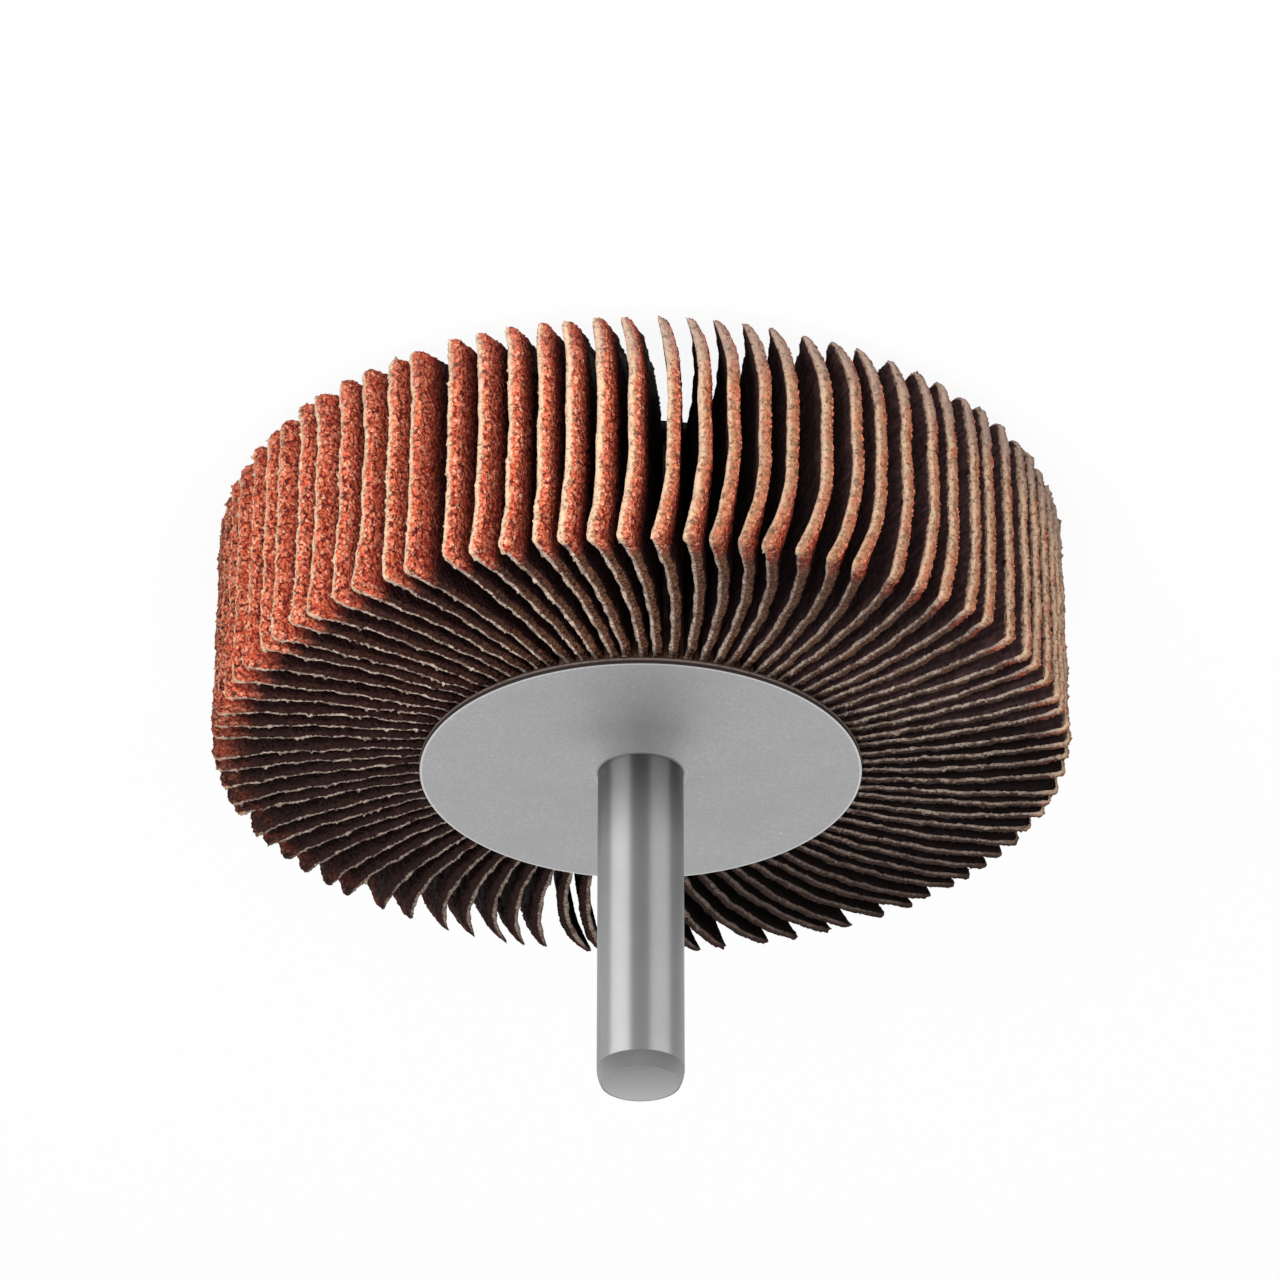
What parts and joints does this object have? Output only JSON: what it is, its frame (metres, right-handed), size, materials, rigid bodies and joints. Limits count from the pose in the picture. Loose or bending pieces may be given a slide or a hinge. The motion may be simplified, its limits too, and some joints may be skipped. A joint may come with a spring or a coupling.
{
  "type": "flap wheel",
  "caption": "Mounted flap wheel: leaning, bowed flaps of abrasive cloth round a resin core, between pressed steel discs, on a turned steel spindle with a straight shank.",
  "frame": {"origin": "on the wheel's axis, in the plane of the rear disc's outer face, which the wheel stands on", "axes": "+Z along the spindle from the rear disc to the end of the shank; seen from +Z the flaps lean counter-clockwise"},
  "size_m": [0.0603, 0.0603, 0.0435],
  "materials": {
    "turned_steel": "satin, turned",
    "sheet_steel": "satin, pressed sheet",
    "abrasive_cloth": "orange grit on brown resin-bonded cloth"
  },
  "bodies": {
    "root": {"spindle": "turned_steel", "front_disc": "sheet_steel", "rear_disc": "sheet_steel", "flap_pack": "abrasive_cloth"}
  },
  "joints": []
}
